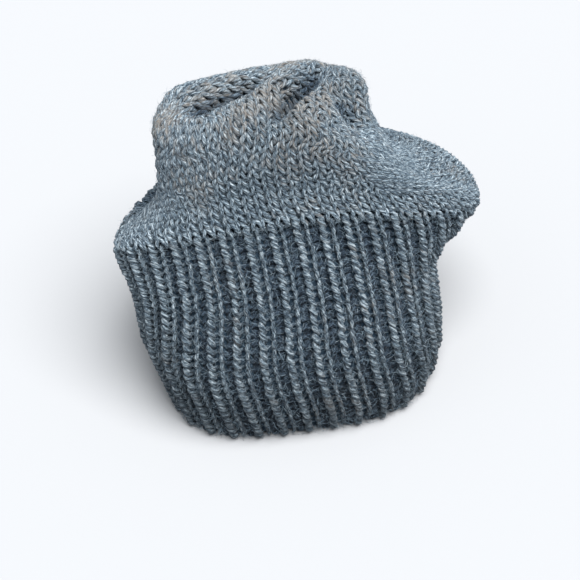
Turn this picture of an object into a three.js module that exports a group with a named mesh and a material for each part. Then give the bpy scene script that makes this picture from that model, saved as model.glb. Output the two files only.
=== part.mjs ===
import * as THREE from 'three';

// A slouchy knitted beanie standing on its rim, as it would rest on a table. The ribbed brim bulges
// out over a tighter rim, and the plain knitted crown stands up in front, folds over and is
// gathered to a tip behind the big fold on the right.
// Millimetres: x runs to the viewer's right, y from the front to the back, z up from the table.

// Driving dimensions
const half_width = 92; // middle of the hat to its widest corner, at the top of the ribs
const front_reach = 90; // middle of the hat to the fullest part of the brim in front
const back_reach = 84; // middle of the hat to the fullest part of the brim behind
const brim_height = 97; // table to the top of the ribs, in the middle of the front
const crown_rise = 50; // top of the ribs to the fold over which the crown turns back
const brim_wall = 4.2; // ribbed fabric, between the faces halfway up the ribs
const crown_wall = 3.4; // plain fabric
const rib_count = 40; // ribs around the brim, each one knit and one purl column
const rib_depth = 2; // groove between two ribs
const join_gap = 0.3; // play between the brim and the crown
const fold_depth = 12; // deepest furrow on top of the crown
const fold_width = 8.5; // half the width of a furrow
const dent_depth = 7; // deepest hollow in the sides and the back

// Sections of the brim from the rim up. Left, right, widest, front and back are shares of the
// reaches, and the heights are shares of brim_height. Corner is the exponent of the rounded
// front, 2 for an ellipse. Turn is the degrees that the ribs have run around the hat.
const brim_sections = [
  { at: 0.00, left: -0.76, right: 0.68, front: -1.00, back: 0.82, widest: -0.15,
    up_left: 0.00, up_right: 0.00, up_front: 0.00, up_back: 0.00, corner: 3.7, turn: -2 },
  { at: 0.15, left: -0.795, right: 0.75, front: -1.03, back: 0.94, widest: -0.18,
    up_left: 0.13, up_right: 0.13, up_front: 0.14, up_back: 0.14, corner: 3.0, turn: -3.5 },
  { at: 0.40, left: -0.85, right: 0.755, front: -0.98, back: 1.00, widest: -0.20,
    up_left: 0.36, up_right: 0.35, up_front: 0.41, up_back: 0.40, corner: 2.8, turn: -4.5 },
  { at: 0.70, left: -0.865, right: 0.765, front: -0.76, back: 0.94, widest: -0.22,
    up_left: 0.59, up_right: 0.57, up_front: 0.72, up_back: 0.66, corner: 2.7, turn: -3.5 },
  { at: 1.00, left: -0.93, right: 1.00, front: -0.47, back: 0.80, widest: -0.22,
    up_left: 0.815, up_right: 0.76, up_front: 1.00, up_back: 0.85, corner: 2.5, turn: -11.5 },
];

// Sections of the crown from the top of the brim to the tip. Their heights are shares of
// crown_rise above the brim's upper edge on the same side.
const crown_sections = [
  { at: 0.12, left: -0.87, right: 1.01, front: -0.44, back: 0.70, widest: -0.20,
    up_left: 0.06, up_right: 0.17, up_front: 0.28, up_back: 0.10, corner: 2.4, turn: -15.5 },
  { at: 0.28, left: -0.66, right: 0.81, front: -0.42, back: 0.60, widest: -0.24,
    up_left: 0.45, up_right: 0.31, up_front: 0.62, up_back: 0.20, corner: 2.4, turn: -19.5 },
  { at: 0.42, left: -0.61, right: 0.66, front: -0.38, back: 0.53, widest: -0.20,
    up_left: 0.95, up_right: 0.55, up_front: 0.86, up_back: 0.41, corner: 2.4, turn: -11.5 },
  { at: 0.56, left: -0.60, right: 0.52, front: -0.30, back: 0.45, widest: -0.10,
    up_left: 1.17, up_right: 0.92, up_front: 0.98, up_back: 0.75, corner: 2.4, turn: -4 },
  { at: 0.75, left: -0.43, right: 0.475, front: -0.11, back: 0.40, widest: 0.07,
    up_left: 1.21, up_right: 1.10, up_front: 1.00, up_back: 0.98, corner: 2.2, turn: -5 },
  { at: 1.00, left: 0.18, right: 0.42, front: 0.09, back: 0.26, widest: 0.17,
    up_left: 1.22, up_right: 1.22, up_front: 0.98, up_back: 1.10, corner: 2.0, turn: 0 },
];

// Folds on top of the crown, as lines seen from above in shares of half_width. Width is a share
// of fold_width and rise of fold_depth, with furrows below zero.
const folds = [
  { name: 'left end of back ridge', x1: -0.62, y1: -0.24, x2: -0.41, y2: 0.11, width: 1.05, rise: 0.08 },
  { name: 'back ridge', x1: -0.45, y1: 0.08, x2: 0.20, y2: 0.24, width: 0.95, rise: 0.34 },
  { name: 'back furrow', x1: -0.36, y1: -0.07, x2: 0.06, y2: 0.12, width: 0.85, rise: -1.10 },
  { name: 'middle ridge', x1: -0.18, y1: -0.36, x2: 0.26, y2: 0.16, width: 0.62, rise: 0.62 },
  { name: 'middle furrow', x1: 0.04, y1: -0.28, x2: 0.24, y2: 0.02, width: 0.50, rise: -0.90 },
  { name: 'front ridge', x1: 0.02, y1: -0.50, x2: 0.45, y2: 0.08, width: 0.85, rise: 0.45 },
];

// Hollows and swells of the walls. Angle is in degrees from the front towards the right, height
// a share of the whole hat, spread is in degrees, tall a share of the whole hat's height and push
// a share of dent_depth, inwards below zero.
const dents = [
  { name: 'dimple in the right shoulder', angle: 82, height: 0.72, spread: 12, tall: 0.06, push: -0.40 },
  { name: 'pocket beside the front ridge', angle: 70, height: 0.90, spread: 11, tall: 0.045, push: -1.85 },
  { name: 'lobe behind the pocket', angle: 98, height: 0.90, spread: 10, tall: 0.05, push: 0.45 },
  { name: 'sag of the back on the right', angle: 130, height: 0.62, spread: 30, tall: 0.20, push: -1.05 },
  { name: 'roll under the sag', angle: 138, height: 0.28, spread: 36, tall: 0.14, push: 0.45 },
  { name: 'hollow in the back', angle: 186, height: 0.52, spread: 18, tall: 0.16, push: -0.60 },
  { name: 'hollow behind left corner', angle: 250, height: 0.58, spread: 25, tall: 0.14, push: -1.70 },
];

// Fineness of the faceted solids
const points_per_rib = 4;
const ring_samples = 480;
const brim_levels = [0, 0.07, 0.2, 0.36, 0.54, 0.76, 0.96];
const crown_levels = [0, 0.07, 0.14, 0.21, 0.28, 0.35, 0.42, 0.48, 0.53, 0.58, 0.63,
  0.68, 0.73, 0.78, 0.83, 0.88, 0.93, 0.97];
const back_roundness = 2; // exponent of the back half of each section
const slope_step = 0.01; // step along the wall for its slope, in sections of the tables
const fold_start = 1.3; // the folds fade in between these two places along the wall
const fold_full = 1.5;
const rib_fade = 0.05; // share of the brim over which the ribs flatten at its upper edge

// The wall's sections from the rim, at 0, by the top of the brim, at 1, to the tip, at 2, in mm.
function wall_sections() {
  const reach = (share) => share * (share < 0 ? front_reach : back_reach);
  const sized = (row, at, height) => ({
    at,
    left: row.left * half_width,
    right: row.right * half_width,
    front: reach(row.front),
    back: reach(row.back),
    widest: reach(row.widest),
    up_left: height(row.up_left, 'up_left'),
    up_right: height(row.up_right, 'up_right'),
    up_front: height(row.up_front, 'up_front'),
    up_back: height(row.up_back, 'up_back'),
    corner: row.corner,
    turn: row.turn,
  });
  const brim = brim_sections.map((row) => sized(row, row.at, (share) => share * brim_height));
  const edge = brim[brim.length - 1];
  const above_edge = (share, side) => edge[side] + share * crown_rise;
  const crown = crown_sections.map((row) => sized(row, 1 + row.at, above_edge));
  return [...brim, ...crown];
}

const sections = wall_sections();
const hat_height = brim_height + crown_rise;

// One section anywhere along the wall, on a smooth curve through the rows of the tables.
function section_at(along) {
  const last = sections.length - 1;
  let low = sections.findIndex((row) => row.at > along) - 1;
  if (low < 0) {
    low = last - 1;
  }
  const before = sections[Math.max(low - 1, 0)];
  const start = sections[low];
  const end = sections[low + 1];
  const after = sections[Math.min(low + 2, last)];
  const span = end.at - start.at;
  const s = (along - start.at) / span;
  const row = {};
  for (const key of Object.keys(start)) {
    const slope_start = (end[key] - before[key]) / (end.at - before.at);
    const slope_end = (after[key] - start[key]) / (after.at - start.at);
    row[key] = (2 * s ** 3 - 3 * s ** 2 + 1) * start[key]
      + (s ** 3 - 2 * s ** 2 + s) * span * slope_start
      + (3 * s ** 2 - 2 * s ** 3) * end[key]
      + (s ** 3 - s ** 2) * span * slope_end;
  }
  return row;
}

// A closed section as points spaced evenly along it, the first one in front.
function section_points(along, count) {
  const row = section_at(along);
  const outline = [];
  const travelled = [0];
  for (let i = 0; i <= ring_samples; i += 1) {
    const angle = (2 * Math.PI * i) / ring_samples;
    const side = Math.sin(angle);
    const ahead = Math.cos(angle);
    const power = ahead > 0 ? row.corner : back_roundness;
    const radius = (Math.abs(side) ** power + Math.abs(ahead) ** power) ** (-1 / power);
    const depth = ahead > 0 ? row.widest - row.front : row.back - row.widest;
    const up_side = side > 0 ? row.up_right : row.up_left;
    const up_ahead = ahead > 0 ? row.up_front : row.up_back;
    outline.push(new THREE.Vector3(
      (row.left + row.right) / 2 + ((row.right - row.left) / 2) * radius * side,
      row.widest - depth * radius * ahead,
      up_side * side ** 2 + up_ahead * ahead ** 2,
    ));
    if (i > 0) {
      travelled.push(travelled[i - 1] + outline[i].distanceTo(outline[i - 1]));
    }
  }
  const length = travelled[ring_samples];
  const points = [];
  for (let i = 0; i < count; i += 1) {
    const share = i / count + row.turn / 360;
    const target = (share - Math.floor(share)) * length;
    let k = 1;
    while (travelled[k] < target) {
      k += 1;
    }
    const part = (target - travelled[k - 1]) / (travelled[k] - travelled[k - 1]);
    points.push(outline[k - 1].clone().lerp(outline[k], part));
  }
  return points;
}

// A bell-shaped weight: 1 in the middle and about a third one width away.
function bell(distance, width) {
  return Math.exp(-((distance / width) ** 2));
}

// How far the folds on top lift the crown at a place.
function fold_lift(point, along) {
  const fade = THREE.MathUtils.smoothstep(along, fold_start, fold_full);
  let lift = 0;
  for (const fold of folds) {
    const from = new THREE.Vector2(fold.x1, fold.y1).multiplyScalar(half_width);
    const run = new THREE.Vector2(fold.x2, fold.y2).multiplyScalar(half_width).sub(from);
    const place = new THREE.Vector2(point.x, point.y).sub(from);
    const share = THREE.MathUtils.clamp(place.dot(run) / run.lengthSq(), 0, 1);
    const away = place.distanceTo(run.multiplyScalar(share));
    lift += fold.rise * fold_depth * bell(away, fold.width * fold_width);
  }
  return lift * fade;
}

// How far the dents push the wall outwards at a place.
function dent_push(point) {
  const angle = THREE.MathUtils.radToDeg(Math.atan2(point.x, -point.y));
  let push = 0;
  for (const dent of dents) {
    const around = THREE.MathUtils.euclideanModulo(angle - dent.angle + 180, 360) - 180;
    const up = point.z / hat_height - dent.height;
    push += dent.push * dent_depth * bell(Math.hypot(around / dent.spread, up / dent.tall), 1);
  }
  return push;
}

// The knit and purl columns: out on the ribs, in between them, flat at the brim's upper edge.
function rib_relief(column, along) {
  const knit = column % points_per_rib < points_per_rib / 2;
  const fade = 1 - THREE.MathUtils.smoothstep(along, 1 - rib_fade, 1);
  return (knit ? 0.5 : -0.5) * rib_depth * fade;
}

// Both faces of the wall along one section: the outer points, then the inner ones. The rim and
// the seam between brim and crown are cut level across the fabric.
function wall_rings(along, count, wall, ribbed) {
  const middle = section_points(along, count);
  const below = section_points(Math.max(along - slope_step, 0), count);
  const above = section_points(Math.min(along + slope_step, 2), count);
  const outer = [];
  const inner = [];
  for (let i = 0; i < count; i += 1) {
    const around = middle[(i + 1) % count].clone().sub(middle[(i + count - 1) % count]);
    const upward = above[i].clone().sub(below[i]);
    const outward = around.cross(upward).normalize();
    if (along === 0 || along === 1) {
      outward.setZ(0).normalize();
    }
    const relief = ribbed ? rib_relief(i, along) : 0;
    const base = middle[i].clone();
    base.addScaledVector(outward, along === 0 ? 0 : dent_push(base));
    base.z += fold_lift(base, along);
    outer.push(base.clone().addScaledVector(outward, wall / 2 + relief));
    inner.push(base.clone().addScaledVector(outward, relief - wall / 2));
  }
  return { outer, inner };
}

// A ring with a midpoint added on each of its sides.
function with_midpoints(ring) {
  return ring.flatMap((point, i) => [point, point.clone().lerp(ring[(i + 1) % ring.length], 0.5)]);
}

// A closed solid from rings of points, each ring joined to the next and the last to the first
// or, where a ring is a single point, to that tip.
function solid_from_rings(rings, name, colour) {
  const positions = [];
  const first = rings.map((ring) => {
    const index = positions.length / 3;
    ring.forEach((point) => positions.push(point.x, point.y, point.z));
    return index;
  });
  const faces = [];
  rings.forEach((ring, r) => {
    const next = rings[(r + 1) % rings.length];
    const a = first[r];
    const b = first[(r + 1) % rings.length];
    const count = Math.max(ring.length, next.length);
    for (let i = 0; i < count; i += 1) {
      const j = (i + 1) % count;
      if (ring.length > 1 && next.length > 1) {
        faces.push(a + i, a + j, b + j, a + i, b + j, b + i);
      } else if (ring.length > 1) {
        faces.push(a + i, a + j, b);
      } else if (next.length > 1) {
        faces.push(a, b + j, b + i);
      }
    }
  });
  const geometry = new THREE.BufferGeometry();
  geometry.setAttribute('position', new THREE.Float32BufferAttribute(positions, 3));
  geometry.setIndex(faces);
  geometry.computeVertexNormals();
  const material = new THREE.MeshStandardMaterial({ color: colour, roughness: 0.95, metalness: 0 });
  const mesh = new THREE.Mesh(geometry, material);
  mesh.name = name;
  return mesh;
}

// The brim: a ribbed band, open above and below. Its upper edge has the crown's lower outline.
function ribbed_brim() {
  const count = rib_count * points_per_rib;
  const levels = brim_levels.map((along) => wall_rings(along, count, brim_wall, true));
  const seam = wall_rings(1, count / 2, brim_wall, false);
  levels.push({ outer: with_midpoints(seam.outer), inner: with_midpoints(seam.inner) });
  const outer = levels.map((level) => level.outer);
  const inner = levels.map((level) => level.inner).reverse();
  return solid_from_rings([...outer, ...inner], 'ribbed_brim', 0x66717a);
}

// The crown: a plain knitted bag, gathered to a closed tip.
function crown() {
  const count = (rib_count * points_per_rib) / 2;
  const levels = crown_levels.map((along) => wall_rings(1 + along, count, crown_wall, false));
  for (const point of [...levels[0].outer, ...levels[0].inner]) {
    point.z += join_gap;
  }
  const outer = levels.map((level) => level.outer);
  const inner = levels.map((level) => level.inner).reverse();
  const tip = wall_rings(2, count, crown_wall, false);
  const centre = (ring) => ring.reduce((sum, point) => sum.add(point), new THREE.Vector3())
    .divideScalar(ring.length);
  const rings = [...outer, [centre(tip.outer)], [centre(tip.inner)], ...inner];
  return solid_from_rings(rings, 'crown', 0x707b84);
}

const beanie = new THREE.Group();
beanie.name = 'slouchy_beanie';
beanie.add(ribbed_brim(), crown());

// The frame's origin is on the table, under the middle of the hat.
const box = new THREE.Box3().setFromObject(beanie);
const middle = box.getCenter(new THREE.Vector3());
for (const piece of beanie.children) {
  piece.geometry.translate(-middle.x, -middle.y, -box.min.z);
}

export default beanie;
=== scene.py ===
import math

import bpy
import numpy as np
from mathutils import Matrix, Vector


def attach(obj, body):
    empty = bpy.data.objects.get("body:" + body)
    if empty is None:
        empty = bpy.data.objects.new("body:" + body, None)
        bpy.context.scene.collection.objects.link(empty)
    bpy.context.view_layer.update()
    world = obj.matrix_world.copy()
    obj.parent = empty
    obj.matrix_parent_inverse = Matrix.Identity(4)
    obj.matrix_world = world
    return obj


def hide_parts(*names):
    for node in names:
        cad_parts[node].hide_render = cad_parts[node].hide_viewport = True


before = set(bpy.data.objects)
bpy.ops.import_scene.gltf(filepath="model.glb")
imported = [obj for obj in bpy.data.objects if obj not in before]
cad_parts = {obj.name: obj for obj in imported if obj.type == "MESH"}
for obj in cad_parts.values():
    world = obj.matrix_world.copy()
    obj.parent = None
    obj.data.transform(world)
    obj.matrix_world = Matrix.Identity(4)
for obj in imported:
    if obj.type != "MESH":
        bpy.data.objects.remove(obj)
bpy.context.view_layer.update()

# The hat is one knitted tube of medium-thick grey wool: a deep ribbed brim, which stands on its
# rim, and a plain crown that slouches over itself. The tables hold its sections from the rim up,
# its folds and its dents, as shares of the same sizes that the CAD part has.
half_width = 0.092
front_reach = 0.090
back_reach = 0.084
brim_height = 0.097
crown_rise = 0.050
fold_depth = 0.012
fold_width = 0.0085
dent_depth = 0.007
hat_offset = (-0.00442, 0.00308, 0.0)  # brings the middle of the hat over the frame's origin

section_columns = (
    "left", "right", "front", "back", "widest",
    "up_left", "up_right", "up_front", "up_back", "corner", "turn",
)
brim_sections = {
    0.00: (-0.76, 0.68, -1.00, 0.82, -0.15, 0.00, 0.00, 0.00, 0.00, 3.7, -2),
    0.15: (-0.795, 0.75, -1.03, 0.94, -0.18, 0.13, 0.13, 0.14, 0.14, 3.0, -3.5),
    0.40: (-0.85, 0.755, -0.98, 1.00, -0.20, 0.36, 0.35, 0.41, 0.40, 2.8, -4.5),
    0.70: (-0.865, 0.765, -0.76, 0.94, -0.22, 0.59, 0.57, 0.72, 0.66, 2.7, -3.5),
    1.00: (-0.93, 1.00, -0.47, 0.80, -0.22, 0.815, 0.76, 1.00, 0.85, 2.5, -11.5),
}
crown_sections = {
    1.12: (-0.87, 1.01, -0.44, 0.70, -0.20, 0.06, 0.17, 0.28, 0.10, 2.4, -15.5),
    1.28: (-0.66, 0.81, -0.42, 0.60, -0.24, 0.45, 0.31, 0.62, 0.20, 2.4, -19.5),
    1.42: (-0.61, 0.66, -0.38, 0.53, -0.20, 0.95, 0.55, 0.86, 0.41, 2.4, -11.5),
    1.56: (-0.60, 0.52, -0.30, 0.45, -0.10, 1.17, 0.92, 0.98, 0.75, 2.4, -4),
    1.75: (-0.43, 0.475, -0.11, 0.40, 0.07, 1.21, 1.10, 1.00, 0.98, 2.2, -5),
    2.00: (0.18, 0.42, 0.09, 0.26, 0.17, 1.22, 1.22, 0.98, 1.10, 2.0, 0),
}
fold_columns = ("x1", "y1", "x2", "y2", "width", "rise")
folds = {
    "left end of back ridge": (-0.62, -0.24, -0.41, 0.11, 1.05, 0.08),
    "back ridge": (-0.45, 0.08, 0.20, 0.24, 0.95, 0.34),
    "back furrow": (-0.36, -0.07, 0.06, 0.12, 0.85, -1.10),
    "middle ridge": (-0.18, -0.36, 0.26, 0.16, 0.62, 0.62),
    "middle furrow": (0.04, -0.28, 0.24, 0.02, 0.50, -0.90),
    "front ridge": (0.02, -0.50, 0.45, 0.08, 0.85, 0.45),
}
dent_columns = ("angle", "height", "spread", "tall", "push")
dents = {
    "dimple in the right shoulder": (82, 0.72, 12, 0.06, -0.40),
    "pocket beside the front ridge": (70, 0.90, 11, 0.045, -1.85),
    "lobe behind the pocket": (98, 0.90, 10, 0.05, 0.45),
    "sag of the back on the right": (130, 0.62, 30, 0.20, -1.05),
    "roll under the sag": (138, 0.28, 36, 0.14, 0.45),
    "hollow in the back": (186, 0.52, 18, 0.16, -0.60),
    "hollow behind left corner": (250, 0.58, 25, 0.14, -1.70),
}
fold_start = 1.3  # where the folds begin, between the brim's edge at 1 and the tip at 2
fold_full = 1.5  # and where they have their full depth
tip_start = 1.93  # from here on the rows are drawn together
tip_pull = 0.94  # how far the last of them close the tip

grid_around = 640  # fineness of the grid of places on the wall
grid_along = 481
outline_samples = 480
tiny = 1e-12  # least length that a direction is divided by


def sized_sections():
    """The sections' places along the wall, and each column in metres."""
    sized = {}
    edge = None
    for at, shares in {**brim_sections, **crown_sections}.items():
        row = dict(zip(section_columns, shares))
        for side in ("left", "right"):
            row[side] *= half_width
        for side in ("front", "back", "widest"):
            row[side] *= front_reach if row[side] < 0 else back_reach
        for side in ("up_left", "up_right", "up_front", "up_back"):
            row[side] = row[side] * brim_height if at <= 1 else edge[side] + row[side] * crown_rise
        if at == 1:
            edge = row
        sized[at] = row
    return np.array(list(sized)), {
        name: np.array([row[name] for row in sized.values()]) for name in section_columns
    }


def smooth_through(at, knots, values):
    """The values anywhere between the knots, on a smooth curve through all of them."""
    last = len(knots) - 1
    low = np.clip(np.searchsorted(knots, at, side="right") - 1, 0, last - 1)
    before = np.maximum(low - 1, 0)
    after = np.minimum(low + 2, last)
    span = knots[low + 1] - knots[low]
    s = (at - knots[low]) / span
    slope_start = (values[low + 1] - values[before]) / (knots[low + 1] - knots[before])
    slope_end = (values[after] - values[low]) / (knots[after] - knots[low])
    return (
        (2 * s**3 - 3 * s**2 + 1) * values[low]
        + (s**3 - 2 * s**2 + s) * span * slope_start
        + (3 * s**2 - 2 * s**3) * values[low + 1]
        + (s**3 - s**2) * span * slope_end
    )


def smoothstep(value, low, high):
    """0 below low and 1 above high, with a smooth step between them."""
    share = np.clip((value - low) / (high - low), 0, 1)
    return share * share * (3 - 2 * share)


def even_outlines(alongs):
    """The plain sections, each as points spaced evenly around it."""
    knots, columns = sized_sections()
    row = {name: smooth_through(alongs, knots, columns[name])[:, None] for name in columns}
    angle = np.linspace(0, 2 * np.pi, outline_samples + 1)[None, :]
    side = np.sin(angle)
    ahead = np.cos(angle)
    power = np.where(ahead > 0, row["corner"], 2.0)
    radius = (np.abs(side) ** power + np.abs(ahead) ** power) ** (-1 / power)
    depth = np.where(ahead > 0, row["widest"] - row["front"], row["back"] - row["widest"])
    up_side = np.where(side > 0, row["up_right"], row["up_left"])
    up_ahead = np.where(ahead > 0, row["up_front"], row["up_back"])
    outline = np.stack([
        (row["left"] + row["right"]) / 2 + (row["right"] - row["left"]) / 2 * radius * side,
        row["widest"] - depth * radius * ahead,
        up_side * side**2 + up_ahead * ahead**2,
    ], axis=-1)
    steps = np.linalg.norm(np.diff(outline, axis=1), axis=-1)
    travelled = np.hstack([np.zeros((len(alongs), 1)), np.cumsum(steps, axis=1)])
    share = (np.arange(grid_around) / grid_around + row["turn"] / 360) % 1
    even = np.empty((len(alongs), grid_around, 3))
    for k in range(len(alongs)):
        for axis in range(3):
            target = share[k] * travelled[k, -1]
            even[k, :, axis] = np.interp(target, travelled[k], outline[k, :, axis])
    return even


def outward_of(places):
    """The direction straight out of the wall at each place of the grid."""
    around = np.roll(places, -1, axis=1) - np.roll(places, 1, axis=1)
    outward = np.cross(around, np.gradient(places, axis=0))
    return outward / np.maximum(np.linalg.norm(outward, axis=-1, keepdims=True), tiny)


def dent_push(places):
    """How far the dents push the wall outwards."""
    hat_height = brim_height + crown_rise
    angle = np.degrees(np.arctan2(places[..., 0], -places[..., 1]))
    push = np.zeros(places.shape[:-1])
    for shares in dents.values():
        dent = dict(zip(dent_columns, shares))
        around = (angle - dent["angle"] + 180) % 360 - 180
        up = places[..., 2] / hat_height - dent["height"]
        away = np.hypot(around / dent["spread"], up / dent["tall"])
        push += dent["push"] * dent_depth * np.exp(-away**2)
    return push


def fold_lift(places, alongs):
    """How far the folds lift the top of the crown."""
    lift = np.zeros(places.shape[:-1])
    for shares in folds.values():
        fold = dict(zip(fold_columns, shares))
        start = np.array([fold["x1"], fold["y1"]]) * half_width
        run = np.array([fold["x2"], fold["y2"]]) * half_width - start
        place = places[..., :2] - start
        share = np.clip(place @ run / (run @ run), 0, 1)
        away = np.linalg.norm(place - share[..., None] * run, axis=-1)
        lift += fold["rise"] * fold_depth * np.exp(-((away / (fold["width"] * fold_width)) ** 2))
    return lift * smoothstep(alongs, fold_start, fold_full)


alongs = np.linspace(0, 2, grid_along)
wall = even_outlines(alongs)
plain_outward = outward_of(wall)
plain_outward[0, :, 2] = 0
wall += plain_outward * (dent_push(wall) * (alongs > 0)[:, None])[..., None]
wall[..., 2] += fold_lift(wall, alongs[:, None])
drawn_together = tip_pull * smoothstep(alongs, tip_start, 2.0)[:, None, None]
wall += (wall[-1].mean(axis=0) - wall) * drawn_together
wall += hat_offset
wall_outward = outward_of(wall)
wall_outward[-1] = wall_outward[-2]


def between_places(grid, around, height):
    """A grid's value anywhere around the hat, in turns, and at a height in steps of the grid."""
    u = np.mod(around, 1) * grid_around
    i = np.floor(u).astype(int) % grid_around
    i_next = (i + 1) % grid_around
    j = np.minimum(np.floor(height).astype(int), len(grid) - 2)
    u_share = u - np.floor(u)
    j_share = height - j
    if grid.ndim == 3:
        u_share = u_share[..., None]
        j_share = j_share[..., None]
    lower = grid[j, i] * (1 - u_share) + grid[j, i_next] * u_share
    upper = grid[j + 1, i] * (1 - u_share) + grid[j + 1, i_next] * u_share
    return lower * (1 - j_share) + upper * j_share


def on_wall(around, along, out):
    """Places on the wall: around in turns from the front, along the rows, and out in metres."""
    height = np.clip(along / 2, 0, 1) * (grid_along - 1)
    place = between_places(wall, around, height)
    outward = between_places(wall_outward, around, height)
    outward /= np.maximum(np.linalg.norm(outward, axis=-1, keepdims=True), tiny)
    return place + outward * np.asarray(out)[..., None], outward


# The wool is a soft spun yarn of four plies, dyed in the fleece: charcoal, slate and pale grey
# fibres, with a little beige, are mixed along each ply, so no two stitches have the same colour.
class Wire:
    """One output of a node. Arithmetic on wires adds Math nodes, and node() adds any other."""

    def __init__(self, output):
        self.output = output
        self.tree = output.id_data

    def node(self, kind, settings, sockets, result=0):
        made = self.tree.nodes.new(kind)
        for name, value in settings.items():
            if name == "stops":
                ramp = made.color_ramp
                while len(ramp.elements) < len(value):
                    ramp.elements.new(1.0)
                for element, (place, colour) in zip(ramp.elements, value):
                    element.position = place
                    element.color = (*colour, 1)
            else:
                setattr(made, name, value)
        for name, value in sockets.items():
            if isinstance(value, Wire):
                self.tree.links.new(value.output, made.inputs[name])
            else:
                made.inputs[name].default_value = value
        return Wire(made.outputs[result])

    def math(self, operation, *others):
        values = dict(enumerate((self, *others)))
        return self.node("ShaderNodeMath", {"operation": operation}, values)

    def __add__(self, other):
        return self.math("ADD", other)

    __radd__ = __add__

    def __sub__(self, other):
        return self.math("SUBTRACT", other)

    def __rsub__(self, other):
        return (self * -1.0).math("ADD", other)

    def __mul__(self, other):
        return self.math("MULTIPLY", other)

    __rmul__ = __mul__

    def __pow__(self, other):
        return self.math("POWER", other)

    def __abs__(self):
        return self.math("ABSOLUTE")

    def into(self, shader, socket):
        self.tree.links.new(self.output, shader.inputs[socket])


def new_material(name, settings):
    """A new material and its shader, with some of the shader's sockets set."""
    material = bpy.data.materials.new(name)
    material.use_nodes = True
    shader = material.node_tree.nodes["Principled BSDF"]
    for socket, value in settings.items():
        shader.inputs[socket].default_value = value
    return material, shader


charcoal = (0.009, 0.018, 0.031)
slate = (0.055, 0.085, 0.117)
ash = (0.215, 0.283, 0.333)
pale = (0.545, 0.618, 0.665)
beige = (0.310, 0.255, 0.200)
plies = 4
ply_turn = 0.95  # cm of yarn in one turn of its plies
ply_roundness = 0.6
groove_light = 0.30  # share of the light that is left between two plies
ply_relief = 0.65
fibre_relief = 0.75
fibre_share = 0.70  # how much of the mottling is fine, and the rest is heather
fibre_fineness = (6.0, 13.0)  # along a cm of yarn and around it
heather_fineness = (1.6, 3.5)
warm_fineness = (0.8, 4.0)
warm_layer = 7.3  # keeps the beige fibres apart from the pattern of the grey ones
warm_patches = 34.0  # about as many patches to a metre
painted_shade_strength = 0.78  # painted shade: how much darker the wool between the ribs and in the furrows is painted, for the less light it gets
painted_shade_green = 0.85  # the painted shade on green and blue, as powers of that on red, so that it is bluer
painted_shade_blue = 0.70
mix_share, mix_under, mix_over = 0, 6, 7  # sockets of a Mix node that mixes colours
mix_result = 2


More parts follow.
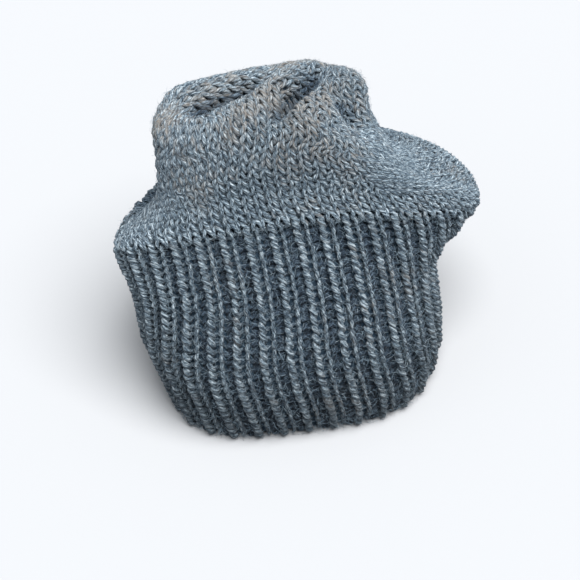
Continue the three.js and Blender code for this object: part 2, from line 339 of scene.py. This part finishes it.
def spun_wool(name, brightness):
    """Wool for yarn whose UV map runs along it, in centimetres, and around it, in turns."""
    material, shader = new_material(name, {
        "Roughness": 0.88,
        "Specular IOR Level": 0.25,
        "Sheen Weight": 0.10,
        "Sheen Roughness": 0.45,
        "Sheen Tint": (0.78, 0.86, 0.95, 1),
    })
    start = Wire(shader.outputs[0])
    uv = start.node("ShaderNodeUVMap", {"uv_map": "yarn"}, {})
    length = start.node("ShaderNodeSeparateXYZ", {}, {0: uv}, "X")
    around = start.node("ShaderNodeSeparateXYZ", {}, {0: uv}, "Y")
    twist = around - length * (1 / ply_turn)
    ply = abs((twist * (plies * math.pi)).math("SINE")) ** ply_roundness

    def yarn_place(fineness, layer):
        return start.node("ShaderNodeCombineXYZ", {}, {
            "X": length * fineness[0], "Y": twist * fineness[1], "Z": layer})

    fibre = start.node(
        "ShaderNodeTexNoise", {"noise_dimensions": "2D"},
        {"Vector": yarn_place(fibre_fineness, 0.0), "Scale": 1.0, "Detail": 3.0, "Roughness": 0.75},
        "Fac")
    heather = start.node(
        "ShaderNodeTexNoise", {"noise_dimensions": "2D"},
        {"Vector": yarn_place(heather_fineness, 0.0), "Scale": 1.0, "Detail": 2.0, "Roughness": 0.6},
        "Fac")
    grey = start.node(
        "ShaderNodeValToRGB",
        {"stops": ((0.36, charcoal), (0.45, slate), (0.54, ash), (0.64, pale))},
        {"Fac": fibre * fibre_share + heather * (1 - fibre_share)})

    place = start.node("ShaderNodeTexCoord", {}, {}, "Object")
    up = start.node("ShaderNodeSeparateXYZ", {}, {0: place}, "Z")
    warm_noise = start.node(
        "ShaderNodeTexNoise", {"noise_dimensions": "3D"},
        {"Vector": yarn_place(warm_fineness, warm_layer), "Scale": 1.0, "Detail": 1.0}, "Fac")
    patch_noise = start.node(
        "ShaderNodeTexNoise", {}, {"Vector": place, "Scale": warm_patches, "Detail": 2.0}, "Fac")
    # Painted warm light: towards the top of the crown the wool is painted warmer, with more beige.
    painted_top_warmth = start.node(
        "ShaderNodeMapRange", {"interpolation_type": "SMOOTHSTEP"},
        {"Value": up, "From Min": 0.105, "From Max": 0.140, "To Min": 0.0, "To Max": 0.13})
    warm = start.node(
        "ShaderNodeMapRange", {"interpolation_type": "SMOOTHSTEP"},
        {"Value": (warm_noise + patch_noise) * 0.5 + painted_top_warmth,
         "From Min": 0.52, "From Max": 0.78, "To Min": 0.0, "To Max": 0.55})
    mixed = start.node(
        "ShaderNodeMix", {"data_type": "RGBA"},
        {mix_share: warm, mix_under: grey, mix_over: (*beige, 1)}, mix_result)

    # Painted shade: the wool that lies sunk, between the ribs, at the heads of their loops, in the
    # furrows and in the pockets of the dents, is painted darker and bluer.
    sunk = start.node("ShaderNodeAttribute", {"attribute_name": "sunk"}, {}, "Fac")
    # Painted shade: towards the rim the wool is painted darker, down to 0.52 of its colour at the
    # floor.
    painted_rim_shade = start.node(
        "ShaderNodeMapRange", {"interpolation_type": "SMOOTHSTEP"},
        {"Value": up, "From Min": 0.0, "From Max": 0.065, "To Min": 0.52, "To Max": 1.0})
    # The painted light and shade go into the base colour: darker between the plies, towards the rim
    # and where the wool lies sunk.
    shade = 1 - painted_shade_strength * sunk
    light = (groove_light + (1 - groove_light) * ply) * painted_rim_shade * brightness
    tone = start.node("ShaderNodeCombineColor", {}, {
        "Red": light * shade,
        "Green": light * shade**painted_shade_green,
        "Blue": light * shade**painted_shade_blue,
    })
    toned = start.node(
        "ShaderNodeMix", {"data_type": "RGBA", "blend_type": "MULTIPLY"},
        {mix_share: 1.0, mix_under: mixed, mix_over: tone}, mix_result)
    toned.into(shader, "Base Color")
    relief = ply * ply_relief + fibre * fibre_relief
    bump = start.node(
        "ShaderNodeBump", {}, {"Strength": 0.9, "Distance": 0.00035, "Height": relief})
    bump.into(shader, "Normal")
    return material


# The fabric is knitted in the round. Each course is one yarn that loops through the course
# below. Its stitches lie in four wedges, with the front of the hat in the middle of one, and the
# crown's decreases lie where two wedges meet.
brim_rows = 27
crown_rows = 27
all_rows = np.arange(brim_rows + crown_rows + 1)
row_pitch = 0.0042
stitch_width = 0.0058
rim_margin = 1.32  # rows between the rim and the middle of the first course
tip_margin = 0.2  # rows between the last course and the tip
rib_count = 40
knit_share = 0.80  # share of a rib's width that its knit column takes
first_rib = 0.125 / rib_count  # lines the knit columns up with the solid's ribs
wedge_count = 4
wedge_most = 2 * rib_count // wedge_count  # stitches of a wedge before the decreases
first_decrease = brim_rows + 3  # first row that can have fewer

quarter_turn = 0.25
wall_steps = np.linalg.norm(np.diff(wall, axis=0), axis=-1)
in_front = np.abs((np.arange(grid_around) / grid_around + 0.5) % 1 - 0.5) < quarter_turn
climbed = np.concatenate([[0], np.cumsum(wall_steps[:, in_front].mean(axis=1))])
girth = np.linalg.norm(np.roll(wall, -1, axis=1) - wall, axis=-1).sum(axis=1)
brim_length = np.interp(1, alongs, climbed)
crown_length = climbed[-1] - brim_length


def along_at(rows):
    """The place along the wall of a course, or of any height between courses."""
    brim_part = (rows + rim_margin) * brim_length / (brim_rows + rim_margin)
    crown_part = brim_length + (rows - brim_rows) * crown_length / (crown_rows + tip_margin)
    return np.interp(np.where(rows < brim_rows, brim_part, crown_part), climbed, alongs)


even_pull = 0.7  # how far the crown's rows spread evenly on each side, over folds and hollows
even_steps = 240  # fineness of the table that this is read from
even_reach = 12  # places to each side over which a side's length is averaged
side_climb = wall_steps[alongs[1:] > 1]
side_climb = sum(
    np.roll(side_climb, step, axis=1) for step in range(-even_reach, even_reach + 1))
side_share = np.vstack([np.zeros(grid_around), np.cumsum(side_climb, axis=0)])
side_share /= side_share[-1]
even_alongs = np.stack([
    np.interp(np.linspace(0, 1, even_steps + 1), side_share[:, k], alongs[alongs >= 1])
    for k in range(grid_around)], axis=1)


def fabric_along(rows, around):
    """The place along the wall of any height between courses, on any side of the hat."""
    plain = along_at(rows)
    share = np.clip((rows - brim_rows) / (crown_rows + tip_margin), 0, 1)
    even = between_places(even_alongs, around, share * even_steps)
    return np.where(rows < brim_rows, plain, plain + (even - plain) * even_pull)


wanted = np.interp(along_at(all_rows), alongs, girth) / stitch_width / wedge_count
wedge_stitches = 2 * np.maximum(np.round(wanted / 2), 1).astype(int)
wedge_stitches[:first_decrease] = wedge_most
wedge_stitches = np.minimum.accumulate(np.minimum(wedge_stitches, wedge_most))

# The ribbed brim is a stretchy band of medium-thick wool, worn unfolded. One knit column and one
# purl column take turns: the loops lie out on the ribs, and sink in between them.
rib_knit = {
    "yarn": 0.00130,  # radius of the yarn, which lies plumper in the ribs
    "depth": 0.0011,  # how far a loop's yarn lies in front of and behind the wall
    "lean": (0.175, 0.12),  # how far a loop's left and right legs bulge apart, in stitches
    "height": 0.78,  # half of a loop's height, in rows
}
purl_lean = 0.20
column_width = 0.0095  # of a knit column, over which its slope is taken
rib_out = 0.0013  # knit columns outside the middle of the wall
rib_in = 0.0031  # purl columns inside it
rib_tilt = 0.16  # slope of a knit column, whose left leg lies further out
head_sink = 0.0015  # how much deeper a rib's loops pass behind the ribs than their legs lie
head_skew = 0.8  # and how much of that lies on the right of the loop
link_sink = 0.0012  # how far behind the ribs the yarn crosses from one column to the next
link_start = 0.55  # where in a half stitch it starts to cross
link_flat = 0.25  # last share of the half stitch, in which its own depth fades out
head_plump = 0.74  # thickness of the yarn at the head of a rib's loop
leg_plump = 0.30  # how much thicker its legs are
left_plump = 0.20  # and how much of that goes from the right leg to the left
purl_plump = 1.05
behind_painted_shade = 0.6  # how much painted shade the heads of the ribs' loops get
rim_ribbing = 0.35  # share of the ribs' relief that is left at the rim
rim_fade_rows = 4  # rows up to which the rest of it grows
ribs_fade = (brim_rows - 1, brim_rows + 2)  # rows in which knit and purl columns become alike
step_fade = (brim_rows + 1, brim_rows + 4)  # rows in which plain knitting loses the ribs' height
points_per_stitch = 16
yarn_sides = 6
height_wobble = 0.05  # how uneven the loops are: their height, as a share of it
side_wobble = 0.03  # their place along the course, in stitches
row_wobble = 0.07  # their place up the fabric, in rows
out_wobble = 0.00018  # and how far they stand out
yarn_wobble = 0.05  # how uneven the yarn is, as a share of its thickness
yarn_run = 40  # points between one change of its thickness and the next
yarn_start = 500  # cm of the wool's pattern among which each course picks its start
cm_per_m = 100


def course_path(row, knit, random):
    """One course's yarn: its places, outward directions and radii, and how much painted shade it gets
    for how sunk it lies, 0 to 1.
    """
    in_brim = row < brim_rows
    wedge_size = int(wedge_stitches[row])
    count = wedge_size * wedge_count
    stitch = np.repeat(np.arange(count), points_per_stitch)
    t = np.tile(np.linspace(-np.pi, np.pi, points_per_stitch, endpoint=False), count)
    inside = np.cos(t / 2) ** 2  # 1 at a loop's head and 0 where it meets the next one

    def wobble(size):
        return np.repeat(random.normal(0, size, count), points_per_stitch)

    first = (wedge_most - wedge_size) // 2
    number = stitch % wedge_size + first
    purl = in_brim & (number % 2 == 1)
    left_lean, right_lean = knit["lean"]
    lean = np.where(purl, purl_lean, np.where(t < 0, left_lean, right_lean))
    height = knit["height"] * (1 + wobble(height_wobble) * inside)
    x = t / (2 * np.pi) + lean * np.sin(2 * t) + wobble(side_wobble) * inside
    rows = row + height * np.cos(t) + wobble(row_wobble) * inside

    size_there = np.interp(rows, all_rows, wedge_stitches)
    share = 0.5 + (knit_share - 0.5) * (1 - smoothstep(rows, *ribs_fade))

    def edge(index):
        uneven = np.where(index % 2 == 1, 2 * share - 1, 0)
        return np.clip(0.5 + (index + uneven - wedge_most / 2) / size_there, 0, 1)

    left = np.where(number == first, 0.0, edge(number))
    right = np.where(number == first + wedge_size - 1, 1.0, edge(number + 1))
    wedge = stitch // wedge_size
    around = (wedge + left + (x + 0.5) * (right - left) - 0.5) / wedge_count + first_rib
    along = fabric_along(rows, around)

    out = -knit["depth"] * np.cos(2 * t)
    if in_brim:
        turn = np.abs(t)
        joined = 1 - smoothstep(turn, link_start * np.pi, np.pi)
        fade = np.clip((np.pi - turn) / (np.pi * link_flat), 0, 1)
        behind = np.cos(t) ** 2 * (1 + head_skew * np.sin(t))
        ribbing = rim_ribbing + (1 - rim_ribbing) * smoothstep(rows, 0, rim_fade_rows)
        out *= np.where(purl, -1.0, 1.0) * fade
        out += ribbing * (joined * np.where(purl, -rib_in, rib_out) - (1 - joined) * link_sink)
        out -= joined * np.where(purl, 0, rib_tilt * x * column_width)
        out -= np.where(purl, 0, head_sink * behind) * fade
    else:
        out += rib_out * (1 - smoothstep(rows, *step_fade))
    out += wobble(out_wobble) * inside
    places, outward = on_wall(around, along, out)

    knots = np.arange(0, len(t) + yarn_run, yarn_run)
    evenness = random.normal(1, yarn_wobble, len(knots))
    radius = knit["yarn"] * np.interp(np.arange(len(t)), knots, evenness)
    if in_brim:
        legs = head_plump + leg_plump * np.sin(t) ** 2 - left_plump * np.sin(t)
        radius *= np.where(purl, purl_plump, legs)
        # Painted shade: the purl columns get all of it, the heads of the knit loops and the yarn
        # crossing behind the ribs some.
        sunk = np.where(purl, 1.0, np.clip(np.maximum(behind_painted_shade * behind, 1 - joined), 0, 1))
    else:
        above, _ = on_wall(around, fabric_along(rows + 0.5, around), np.zeros(len(t)))
        below, _ = on_wall(around, fabric_along(rows - 0.5, around), np.zeros(len(t)))
        stretch = np.linalg.norm(above - below, axis=1) / row_pitch
        radius *= np.clip(stretch, *knit["stretch"])
        # Painted shade in the furrows of the folds and in the pockets of the dents.
        furrow = -fold_lift(places - hat_offset, along) / fold_depth * knit["furrow"]
        pocket = -dent_push(places - hat_offset) / dent_depth - knit["pocket"]
        sunk = np.clip(np.maximum(furrow, pocket), 0, 1)
    return places, outward, radius, sunk


def ring_faces(rings, sides):
    """The four-sided faces of a closed row of closed rings, with the places that each one joins."""
    k, j = np.meshgrid(np.arange(rings), np.arange(sides), indexing="ij")
    k_next = (k + 1) % rings
    j_next = (j + 1) % sides
    faces = np.stack([
        k * sides + j, k_next * sides + j, k_next * sides + j_next, k * sides + j_next], axis=-1)
    return faces.reshape(-1, 4), k, j


def yarn_tube(path, outward, radius, sides, start):
    """The skin of a closed strand: its places, its faces and the UVs of their corners."""
    ahead = np.roll(path, -1, axis=0) - np.roll(path, 1, axis=0)
    ahead /= np.linalg.norm(ahead, axis=1, keepdims=True)
    aside = np.cross(ahead, outward)
    aside /= np.linalg.norm(aside, axis=1, keepdims=True)
    up = np.cross(aside, ahead)
    angle = 2 * np.pi * np.arange(sides) / sides
    ring = (
        np.sin(angle)[None, :, None] * aside[:, None, :]
        - np.cos(angle)[None, :, None] * up[:, None, :]
    )
    places = path[:, None, :] + ring * radius[:, None, None]
    faces, k, j = ring_faces(len(path), sides)
    steps = np.linalg.norm(np.roll(path, -1, axis=0) - path, axis=1) * cm_per_m
    length = start + np.concatenate([[0], np.cumsum(steps)])
    u = np.stack([length[k], length[k + 1], length[k + 1], length[k]], axis=-1)
    v = np.stack([j, j, j + 1, j + 1], axis=-1) / sides
    return places.reshape(-1, 3), faces, np.stack([u, v], axis=-1).reshape(-1, 2)


def mesh_piece(name, parts, material, node):
    """One mesh piece out of several skins, riding on the hat in place of a CAD node."""
    shift = np.cumsum([0] + [len(places) for places, _, _ in parts])
    places = np.concatenate([places for places, _, _ in parts])
    faces = np.concatenate([faces + first for (_, faces, _), first in zip(parts, shift)])
    uvs = np.concatenate([uv for _, _, uv in parts])
    mesh = bpy.data.meshes.new(name)
    mesh.vertices.add(len(places))
    mesh.vertices.foreach_set("co", places.astype(np.float32).ravel())
    mesh.loops.add(faces.size)
    mesh.loops.foreach_set("vertex_index", faces.astype(np.int32).ravel())
    mesh.polygons.add(len(faces))
    mesh.polygons.foreach_set("loop_start", np.arange(0, faces.size, faces.shape[1], dtype=np.int32))
    mesh.update(calc_edges=True)
    mesh.shade_smooth()
    mesh.uv_layers.new(name="yarn").data.foreach_set("uv", uvs.astype(np.float32).ravel())
    mesh.materials.append(material)
    piece = bpy.data.objects.new(name, mesh)
    bpy.context.collection.objects.link(piece)
    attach(piece, "root")
    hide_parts(node)
    return piece


def knitted_rows(name, rows, knit, material, node, seed):
    """A piece of fabric out of whole courses."""
    random = np.random.default_rng(seed)
    skins = []
    painted_shades = []
    for row in rows:
        path, outward, radius, sunk = course_path(row, knit, random)
        start = random.uniform(0, yarn_start)
        skins.append(yarn_tube(path, outward, radius, yarn_sides, start))
        painted_shades.append(np.repeat(sunk, yarn_sides))
    piece = mesh_piece(name, skins, material, node)
    # The painted shade goes on the mesh as a point attribute, which the wool's shader reads.
    depth = piece.data.attributes.new("sunk", "FLOAT", "POINT")
    depth.data.foreach_set("value", np.concatenate(painted_shades).astype(np.float32))


# Painted shade: the brim's wool is painted darker than the crown's, 0.65 against 0.91, though both
# are the same yarn.
ribbed_wool = spun_wool("heathered_wool_ribbed_shaded", 0.65)
brim_bands = {"brim_rows_low": (0, 9), "brim_rows_middle": (9, 18), "brim_rows_high": (18, brim_rows)}
for name, (first, last) in brim_bands.items():
    knitted_rows(
        name, range(first, last), rib_knit, ribbed_wool, "ribbed_brim", first + 5)

# The crown is plain knitting that grows out of the ribs, on the same stitches at first, then on
# fewer and fewer, until the last of them are drawn together at the tip.
plain_knit = {
    "yarn": 0.00100,
    "depth": 0.0014,
    "lean": (0.26, 0.235),  # plain knitting slants more than the ribs
    "height": 0.88,
    "stretch": (0.85, 1.25),  # thickness of the yarn where the rows lie closest and furthest apart
    "furrow": 1.7,  # how strongly the wool is painted in shade at the full depth of a fold
    "pocket": 0.6,  # share of the full depth of a dent from which its wool is painted in shade
}
# Painted light: the crown's wool is painted lighter than the brim's, though both are the same yarn.
plain_wool = spun_wool("heathered_wool_plain_lit", 0.91)
crown_bands = {
    "crown_rows_side": (brim_rows, brim_rows + 11),
    "crown_rows_top": (brim_rows + 11, brim_rows + crown_rows),
}
for name, (first, last) in crown_bands.items():
    knitted_rows(
        name, range(first, last), plain_knit, plain_wool, "crown", first + 5)

# Behind the loops lies a thin dark sheet in the middle of the fabric, painted shade that stands for
# the dark between the stitches. It keeps light from showing between the stitches.
sheet_thickness = 0.0004
sheet_sink = 0.0012  # how far it lies inside the middle of the wall
sheet_behind_rib = 0.0004  # and how much further behind the ribs' loops
sheet_valley = (0.30, 0.45)  # where a valley starts and is full, in ribs from a rib's middle
sheet_edge = 0.97  # where along the wall the valleys start to fade towards the crown
sheet_rim = 0.15  # and up to where they fade towards the rim
# Its colour is painted shade: nearly black, with bluish speckles.
shade_sheet, shade_sheet_shader = new_material("painted_shade_sheet", {"Roughness": 0.95, "Specular IOR Level": 0.1})
shade_sheet_speckle = Wire(shade_sheet_shader.outputs[0]).node(
    "ShaderNodeTexNoise", {}, {"Scale": 900.0, "Detail": 2.0}, "Fac")
shade_sheet_speckle.node(
    "ShaderNodeValToRGB", {"stops": ((0.35, (0.008, 0.017, 0.030)), (0.70, (0.035, 0.058, 0.082)))},
    {"Fac": shade_sheet_speckle}).into(shade_sheet_shader, "Base Color")


def shade_sheet_skin(start, end, steps, around_steps, ribbed):
    """A closed thin skin between two places along the wall, in the middle of the stitches."""
    around, along = np.meshgrid(
        np.arange(around_steps) / around_steps, np.linspace(start, end, steps), indexing="xy")
    out = np.full(around.shape, -sheet_sink)
    if ribbed:
        place = (around - first_rib) * rib_count % 1
        in_knit = np.abs((place - knit_share / 2 + 0.5) % 1 - 0.5)
        valley = smoothstep(in_knit, *sheet_valley)
        relief = 1 - smoothstep(along, sheet_edge, 1.0)
        relief *= rim_ribbing + (1 - rim_ribbing) * smoothstep(along, 0, sheet_rim)
        out -= sheet_behind_rib * (1 - valley) + rib_in * valley * relief
    outer, _ = on_wall(around, along, out + sheet_thickness / 2)
    inner, _ = on_wall(around, along, out - sheet_thickness / 2)
    rings = np.concatenate([outer, inner[::-1]])
    faces, _, _ = ring_faces(len(rings), around_steps)
    return rings.reshape(-1, 3), faces[:, [0, 3, 2, 1]], np.zeros((faces.size, 2))


brim_shade_sheet = shade_sheet_skin(start=0.016, end=1.0, steps=40, around_steps=200, ribbed=True)
mesh_piece("brim_heart", [brim_shade_sheet], shade_sheet, "ribbed_brim")
crown_shade_sheet = shade_sheet_skin(start=1.0, end=1.998, steps=64, around_steps=128, ribbed=False)
mesh_piece("crown_heart", [crown_shade_sheet], shade_sheet, "crown")

# Loose fibres stand off the spun wool all over the hat, as a soft halo. Each is a thin bent blade
# that starts in a stitch.
fibre_width = 0.00010
fibre_root = 0.0022  # how far outside the middle of the wall a fibre can start
fibre_reach = (0.0010, 0.0024)  # how far each of its halves reaches over the wool
fibre_rise = (0.05, 0.75)  # how steeply its first half stands off the wool
fibre_bend = 0.5  # how much less steeply the second does
fibre_curl = 0.4  # how far the second half turns aside
fibre_turn = 0.6  # how unevenly the blades face
fibre_levels = 200  # heights between which they are shared out by the hat's girth
fibre_tones = 300  # spread of the places where they read their colour from the pattern
floor_gap = 0.0001  # keeps them off the floor
fibre_wool, fibre_shader = new_material(
    "loose_fibres", {"Roughness": 0.8, "Specular IOR Level": 0.2})
fibre_place = Wire(fibre_shader.outputs[0]).node("ShaderNodeUVMap", {"uv_map": "yarn"}, {})
fibre_speckle = fibre_place.node(
    "ShaderNodeTexNoise", {}, {"Vector": fibre_place, "Scale": 1.0, "Detail": 1.0}, "Fac")
fibre_speckle.node(
    "ShaderNodeValToRGB", {"stops": ((0.38, slate), (0.62, ash), (0.88, pale))},
    {"Fac": fibre_speckle}).into(fibre_shader, "Base Color")


def loose_fibres(name, node, start, end, count, seed):
    """Bent fibres that rise from the stitches between two places along the wall."""
    random = np.random.default_rng(seed)
    heights = np.linspace(start, end, fibre_levels)
    room = np.interp(heights, alongs, girth)
    place = np.interp(random.random(count), np.cumsum(room) / room.sum(), heights)
    root, outward = on_wall(random.random(count), place, random.uniform(0.0, fibre_root, count))
    wander = random.normal(0, 1, (count, 3))
    level = wander - outward * (wander * outward).sum(axis=1, keepdims=True)
    level /= np.linalg.norm(level, axis=1, keepdims=True)
    reach = random.uniform(*fibre_reach, count)[:, None]
    rise = random.uniform(*fibre_rise, count)[:, None]
    curl = np.cross(level, outward) * random.normal(0, fibre_curl, count)[:, None]
    middle = root + (level + outward * rise) * reach
    tip = middle + (level + curl + outward * (rise - fibre_bend)) * reach
    flat = np.cross(tip - root, outward + random.normal(0, fibre_turn, (count, 3)))
    flat *= fibre_width / 2 / np.linalg.norm(flat, axis=1, keepdims=True)
    places = np.stack([root - flat, root + flat, middle + flat, middle - flat, tip], axis=1)
    places[..., 2] = np.maximum(places[..., 2], floor_gap)
    blade = np.array([[0, 1, 2], [0, 2, 3], [3, 2, 4]])
    faces = blade[None] + places.shape[1] * np.arange(count)[:, None, None]
    tone = np.repeat(random.uniform(0, fibre_tones, count), blade.size)
    skin = (places.reshape(-1, 3), faces.reshape(-1, 3), np.stack([tone, tone], axis=1))
    mesh_piece(name, [skin], fibre_wool, node)


loose_fibres(
    "brim_fibres", "ribbed_brim", start=0.01, end=1.0, count=30000, seed=61)
loose_fibres(
    "crown_fibres", "crown", start=1.0, end=1.99, count=20000, seed=62)

# The camera looks down on the front of the hat from 40 degrees above the floor, and leans a
# little, as the photograph does.
view_height = math.radians(40)
view_lean = math.radians(7.5)
view_distance = 0.75
focal_pixels = 1500.0
picture_pixels = 580.0
film_width = 36
looked_at = Vector((-0.0018, -0.0306, 0.060))
looked_at_pixel = (298, 265)
forward = Vector((0, math.cos(view_height), -math.sin(view_height)))
level = Vector((1, 0, 0))
upright = Vector((0, math.sin(view_height), math.cos(view_height)))
right = level * math.cos(view_lean) - upright * math.sin(view_lean)
up = upright * math.cos(view_lean) + level * math.sin(view_lean)
eye = looked_at - forward * view_distance
to_right = (picture_pixels / 2 - looked_at_pixel[0]) / focal_pixels
to_top = (looked_at_pixel[1] - picture_pixels / 2) / focal_pixels
forward = (forward + right * to_right + up * to_top).normalized()
right = forward.cross(up).normalized()
up = right.cross(forward)
lens = bpy.data.cameras.new("camera")
lens.sensor_width = film_width
lens.lens = film_width * focal_pixels / picture_pixels
camera = bpy.data.objects.new("camera", lens)
turned = Matrix((right, up, -forward)).transposed().to_4x4()
camera.matrix_world = Matrix.Translation(eye) @ turned
bpy.context.collection.objects.link(camera)
bpy.context.scene.camera = camera

# A pale floor under a soft studio light from above, a little in front and to the right, with a
# weak light all round.
floor_reach = 6.0
floor_paint, _ = new_material("pale_floor", {
    "Base Color": (0.40, 0.405, 0.415, 1),
    "Roughness": 0.9,
    "Specular IOR Level": 0.1,
})
floor_mesh = bpy.data.meshes.new("floor")
floor_mesh.from_pydata(
    [(-floor_reach, -floor_reach, 0), (floor_reach, -floor_reach, 0),
     (floor_reach, floor_reach, 0), (-floor_reach, floor_reach, 0)], [], [(0, 1, 2, 3)])
floor_mesh.materials.append(floor_paint)
floor = bpy.data.objects.new("floor", floor_mesh)
bpy.context.collection.objects.link(floor)

light_direction = Vector((-0.30, 0.30, -1))
lamp = bpy.data.lights.new("light_above", "SUN")
lamp.energy = 6.5
lamp.angle = math.radians(50)
lit = bpy.data.objects.new("light_above", lamp)
lit.rotation_mode = "QUATERNION"
lit.rotation_quaternion = light_direction.to_track_quat("-Z", "Y")
bpy.context.collection.objects.link(lit)

world = bpy.data.worlds.new("studio")
world.use_nodes = True
world.node_tree.nodes["Background"].inputs["Color"].default_value = (0.86, 0.93, 1.0, 1)
world.node_tree.nodes["Background"].inputs["Strength"].default_value = 0.5
bpy.context.scene.world = world
bpy.context.scene.view_settings.view_transform = "Standard"
